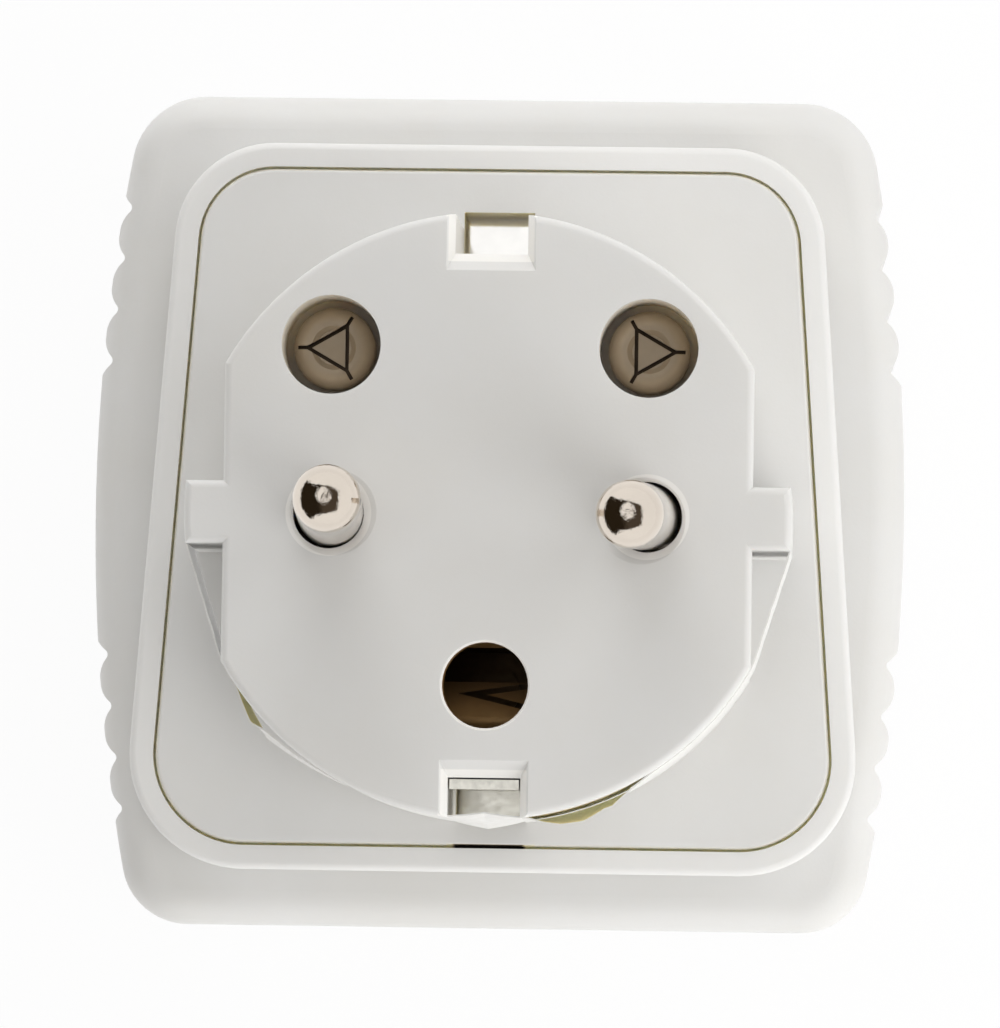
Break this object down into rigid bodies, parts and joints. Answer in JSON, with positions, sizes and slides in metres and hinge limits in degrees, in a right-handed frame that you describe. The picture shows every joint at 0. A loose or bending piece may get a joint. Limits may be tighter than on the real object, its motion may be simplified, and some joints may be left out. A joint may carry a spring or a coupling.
{
  "type": "travel adapter",
  "caption": "Square travel adapter with scalloped grip sides: a round two-pin plug with side earth clips on one face and a socket for several plug shapes on the other.",
  "frame": {"origin": "middle of the socket face, which lies on the surface that the adapter stands on", "axes": "+Z along the plug, towards the pin tips; +X across the two pins; +Y from the earth hole towards the screws"},
  "size_m": [0.0514, 0.0528, 0.065],
  "materials": {
    "shell_plastic": "satin",
    "plated_pin": "polished",
    "plated_clip": "satin",
    "contact_brass": "satin",
    "screw_steel": "dark"
  },
  "bodies": {
    "root": {"housing": "shell_plastic", "socket_face": "shell_plastic", "plug_base": "shell_plastic", "line_pin": "plated_pin", "neutral_pin": "plated_pin", "line_contact": "contact_brass", "neutral_contact": "contact_brass", "earth_socket_contact": "contact_brass", "earth_bridge": "contact_brass", "upper_earth_clip": "plated_clip", "lower_earth_clip": "plated_clip", "earth_pin_contact": "contact_brass", "earth_rivets": "contact_brass", "security_screws": "screw_steel"}
  },
  "joints": []
}
